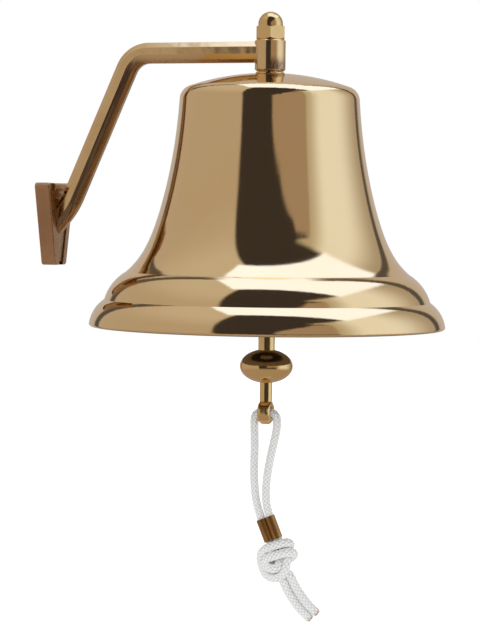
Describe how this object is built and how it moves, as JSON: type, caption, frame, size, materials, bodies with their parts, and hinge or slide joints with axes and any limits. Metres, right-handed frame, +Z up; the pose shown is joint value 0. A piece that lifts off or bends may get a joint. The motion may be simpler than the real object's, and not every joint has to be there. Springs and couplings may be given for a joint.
{
  "type": "ship bell",
  "caption": "Brass ship's bell that turns and rings under a bent wall bracket, with a swinging clapper and a braided pull cord.",
  "frame": {"origin": "middle of the wall shoe's back face, on the wall", "axes": "+X out of the wall towards the bell, +Z up, +Y completes the right hand; Y = 0 is the plane of symmetry"},
  "size_m": [0.2374, 0.2036, 0.3486],
  "materials": {
    "bell_brass": "mirror polished",
    "cast_brass": "polished casting",
    "turned_brass": "polished, turned",
    "ferrule_brass": "aged, satin",
    "braided_cord": "braided, white"
  },
  "bodies": {
    "shoe": {"wall_shoe": "cast_brass"},
    "bracket": {"bracket_arm": "cast_brass"},
    "bell": {"bell_shell": "bell_brass", "crown_collar": "turned_brass", "eyebolt": "turned_brass", "acorn_nut": "turned_brass", "nut_washer": "turned_brass", "inner_washer": "turned_brass", "inner_nut": "turned_brass"},
    "link": {"clapper_link": "turned_brass"},
    "clapper": {"clapper_rod": "turned_brass", "clapper_ball": "turned_brass", "clapper_tail": "turned_brass"},
    "lanyard": {"lanyard_left_strand": "braided_cord", "lanyard_right_strand": "braided_cord", "ferrule": "ferrule_brass", "knot": "braided_cord", "lanyard_left_tail": "braided_cord", "lanyard_right_tail": "braided_cord"}
  },
  "joints": [
    {"name": "bracket_lift", "type": "slide", "parent": "shoe", "child": "bracket", "axis": [0, 0, 1], "range_m": [0, 0.05]},
    {"name": "bell_swivel", "type": "hinge", "parent": "bracket", "child": "bell", "pos_m": [0.1356, 0, 0.098], "axis": [0, 0, 1], "continuous": true},
    {"name": "clapper_swing", "type": "hinge", "parent": "bell", "child": "link", "pos_m": [0.1356, 0, 0.0582], "axis": [0, 1, 0], "range_deg": [-33, 33]},
    {"name": "clapper_sway", "type": "hinge", "parent": "link", "child": "clapper", "pos_m": [0.1356, 0, 0.04575], "axis": [1, 0, 0], "range_deg": [-12, 12]},
    {"name": "lanyard_swing", "type": "hinge", "parent": "clapper", "child": "lanyard", "pos_m": [0.1356, 0, -0.1062], "axis": [1, 0, 0], "range_deg": [-60, 60]}
  ]
}
